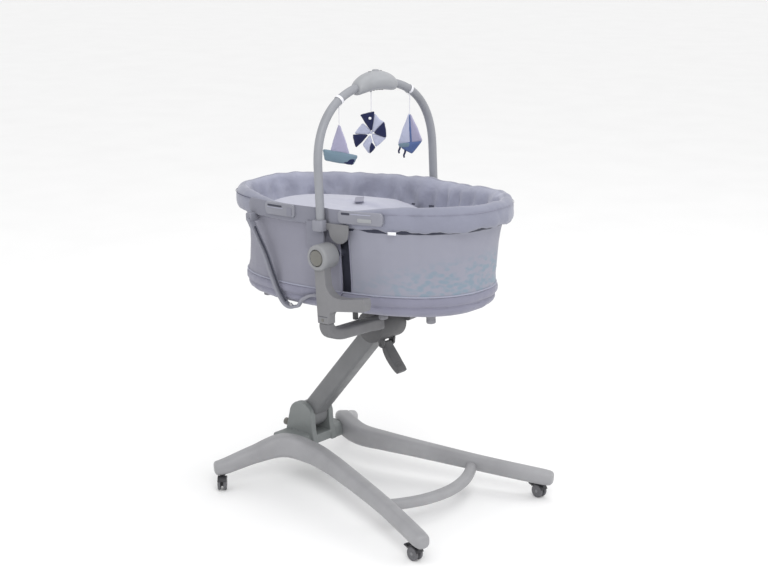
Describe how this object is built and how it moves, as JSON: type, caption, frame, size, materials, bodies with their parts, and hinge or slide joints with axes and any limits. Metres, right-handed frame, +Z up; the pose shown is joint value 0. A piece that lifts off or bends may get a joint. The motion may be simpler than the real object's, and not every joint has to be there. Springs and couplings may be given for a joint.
{
  "type": "bassinet on wheeled stand",
  "caption": "Oval fabric-sided bassinet on a height-adjustable column stand with a splayed two-leg caster base and a removable toy arch.",
  "frame": {"origin": "on the floor, below the middle of the whole object", "axes": "+Z up; +X along the basket towards its foot end, the head end is -X; \"right\" is -Y and \"left\" is +Y"},
  "size_m": [0.9278, 0.6372, 1.2603],
  "materials": {
    "leg_grey": "painted, low sheen",
    "hub_grey": "moulded, low sheen",
    "column_grey": "painted, low sheen",
    "hub_dark": "moulded, fine grain",
    "bracket_grey": "moulded, satin",
    "tray_grey": "moulded, fine grain",
    "button_dark": "moulded, satin",
    "caster_black": "moulded, fine grain",
    "wheel_grey": "hard tyre, matt",
    "pin_steel": "bright",
    "tube_aluminium": "mill",
    "wall_fabric": "plain weave",
    "rim_fabric": "soft padded cloth",
    "mattress_fabric": "quilted cloth",
    "board": "moulded",
    "arch_grey": "satin",
    "ribbon": "satin ribbon",
    "toy_lilac": "felt and plain cloth",
    "toy_blue": "plain cloth",
    "toy_navy": "plain cloth"
  },
  "bodies": {
    "base": {"base_leg_right": "leg_grey", "base_leg_left": "leg_grey", "cross_bar": "leg_grey", "hub_housing": "hub_grey", "lower_pivot_pin": "pin_steel"},
    "hub_button": {"hub_button": "button_dark"},
    "column": {"column_shell": "column_grey"},
    "link": {"levelling_link": "pin_steel"},
    "carriage": {"top_hub": "hub_dark", "upper_pivot_pin": "pin_steel", "yoke_arm_right": "bracket_grey", "yoke_arm_left": "bracket_grey", "support_strut_right": "hub_dark", "support_strut_left": "hub_dark", "side_bracket_right": "bracket_grey", "side_bracket_left": "bracket_grey"},
    "lever": {"height_lever": "hub_dark"},
    "knob_button_right": {"knob_button_right": "button_dark"},
    "knob_button_left": {"knob_button_left": "button_dark"},
    "basket": {"base_tray": "tray_grey", "fabric_side_head": "wall_fabric", "fabric_side_foot": "wall_fabric", "rim_tube": "tube_aluminium", "rim_pad": "rim_fabric", "grip_head_right": "bracket_grey", "grip_head_left": "bracket_grey", "grip_foot_right": "bracket_grey", "grip_foot_left": "bracket_grey", "side_plate_right": "board", "side_plate_left": "board", "arch_socket_right": "bracket_grey", "arch_socket_left": "bracket_grey", "side_rail_right": "bracket_grey", "side_rail_left": "bracket_grey", "head_board": "board", "foot_board": "board", "mattress": "mattress_fabric"},
    "arch": {"toy_arch": "arch_grey", "music_box": "arch_grey"},
    "music_button": {"music_button": "arch_grey"},
    "boat": {"boat_string": "ribbon", "boat_toy": "toy_lilac"},
    "pinwheel": {"pinwheel_string": "ribbon", "pinwheel_toy": "toy_navy"},
    "sailboat": {"sailboat_string": "ribbon", "sailboat_toy": "toy_blue"},
    "caster_rear_right": {"caster_hood_rear_right": "caster_black"},
    "wheel_rear_right": {"wheels_rear_right": "wheel_grey"},
    "caster_front_right": {"caster_hood_front_right": "caster_black"},
    "wheel_front_right": {"wheels_front_right": "wheel_grey"},
    "brake_front_right": {"brake_tab_front_right": "caster_black"},
    "caster_rear_left": {"caster_hood_rear_left": "caster_black"},
    "wheel_rear_left": {"wheels_rear_left": "wheel_grey"},
    "caster_front_left": {"caster_hood_front_left": "caster_black"},
    "wheel_front_left": {"wheels_front_left": "wheel_grey"},
    "brake_front_left": {"brake_tab_front_left": "caster_black"}
  },
  "joints": [
    {"name": "column_swing", "type": "hinge", "parent": "base", "child": "column", "pos_m": [-0.24188, 0, 0.186], "axis": [0, 1, 0], "range_deg": [0, 33]},
    {"name": "link_swing", "type": "hinge", "parent": "base", "child": "link", "pos_m": [-0.24961, 0, 0.19767], "axis": [0, 1, 0], "range_deg": [0, 33]},
    {"name": "carriage_level", "type": "hinge", "parent": "column", "child": "carriage", "pos_m": [0.04812, 0, 0.529], "axis": [0, 1, 0], "range_deg": [-33, 0]},
    {"name": "lever_squeeze", "type": "hinge", "parent": "carriage", "child": "lever", "pos_m": [0.06612, 0, 0.473], "axis": [0, 1, 0], "range_deg": [-15, 0], "stiffness_Nm_per_rad": 1},
    {"name": "basket_tilt", "type": "hinge", "parent": "carriage", "child": "basket", "pos_m": [0.07349, 0, 0.78308], "axis": [0, 1, 0], "range_deg": [-6, 8]},
    {"name": "knob_press_right", "type": "slide", "parent": "carriage", "child": "knob_button_right", "axis": [0, 1, 0], "range_m": [0, 0.003], "stiffness_N_per_m": 400},
    {"name": "knob_press_left", "type": "slide", "parent": "carriage", "child": "knob_button_left", "axis": [0, -1, 0], "range_m": [0, 0.003], "stiffness_N_per_m": 400},
    {"name": "hub_button_press", "type": "slide", "parent": "base", "child": "hub_button", "axis": [1, 0, 0], "range_m": [0, 0.005], "stiffness_N_per_m": 400},
    {"name": "arch_lift", "type": "slide", "parent": "basket", "child": "arch", "axis": [-0.0537, 0, 0.9986], "range_m": [0, 0.05]},
    {"name": "music_press", "type": "slide", "parent": "arch", "child": "music_button", "axis": [0.0537, 0, -0.9986], "range_m": [0, 0.0015], "stiffness_N_per_m": 400},
    {"name": "boat_swing", "type": "hinge", "parent": "arch", "child": "boat", "pos_m": [0.02305, -0.149, 1.17143], "axis": [0, 1, 0], "range_deg": [-40, 40]},
    {"name": "pinwheel_swing", "type": "hinge", "parent": "arch", "child": "pinwheel", "pos_m": [0.02176, -0.016, 1.1954], "axis": [0, 1, 0], "range_deg": [-40, 40]},
    {"name": "sailboat_swing", "type": "hinge", "parent": "arch", "child": "sailboat", "pos_m": [0.02305, 0.149, 1.17143], "axis": [0, 1, 0], "range_deg": [-40, 40]},
    {"name": "caster_swivel_rear_right", "type": "hinge", "parent": "base", "child": "caster_rear_right", "pos_m": [-0.33888, -0.286, 0.042], "axis": [0, 0, 1], "continuous": true},
    {"name": "wheel_spin_rear_right", "type": "hinge", "parent": "caster_rear_right", "child": "wheel_rear_right", "pos_m": [-0.33101, -0.29506, 0.02], "axis": [-0.7547, -0.6561, 0], "continuous": true},
    {"name": "caster_swivel_front_right", "type": "hinge", "parent": "base", "child": "caster_front_right", "pos_m": [0.42712, -0.286, 0.042], "axis": [0, 0, 1], "continuous": true},
    {"name": "wheel_spin_front_right", "type": "hinge", "parent": "caster_front_right", "child": "wheel_front_right", "pos_m": [0.41523, -0.28433, 0.02], "axis": [0.1392, 0.9903, 0], "continuous": true},
    {"name": "brake_press_front_right", "type": "hinge", "parent": "caster_front_right", "child": "brake_front_right", "pos_m": [0.39246, -0.28113, 0.033], "axis": [0.1392, 0.9903, 0], "range_deg": [-12, 0], "stiffness_Nm_per_rad": 0.05},
    {"name": "caster_swivel_rear_left", "type": "hinge", "parent": "base", "child": "caster_rear_left", "pos_m": [-0.33888, 0.286, 0.042], "axis": [0, 0, 1], "continuous": true},
    {"name": "wheel_spin_rear_left", "type": "hinge", "parent": "caster_rear_left", "child": "wheel_rear_left", "pos_m": [-0.33101, 0.29506, 0.02], "axis": [0.7547, -0.6561, 0], "continuous": true},
    {"name": "caster_swivel_front_left", "type": "hinge", "parent": "base", "child": "caster_front_left", "pos_m": [0.42712, 0.286, 0.042], "axis": [0, 0, 1], "continuous": true},
    {"name": "wheel_spin_front_left", "type": "hinge", "parent": "caster_front_left", "child": "wheel_front_left", "pos_m": [0.41523, 0.28767, 0.02], "axis": [0.1392, 0.9903, 0], "continuous": true},
    {"name": "brake_press_front_left", "type": "hinge", "parent": "caster_front_left", "child": "brake_front_left", "pos_m": [0.39246, 0.29087, 0.033], "axis": [0.1392, 0.9903, 0], "range_deg": [-12, 0], "stiffness_Nm_per_rad": 0.05}
  ],
  "couplings": [
    {"joint": "link_swing", "follows": "column_swing", "ratio": 1},
    {"joint": "carriage_level", "follows": "column_swing", "ratio": -1}
  ]
}
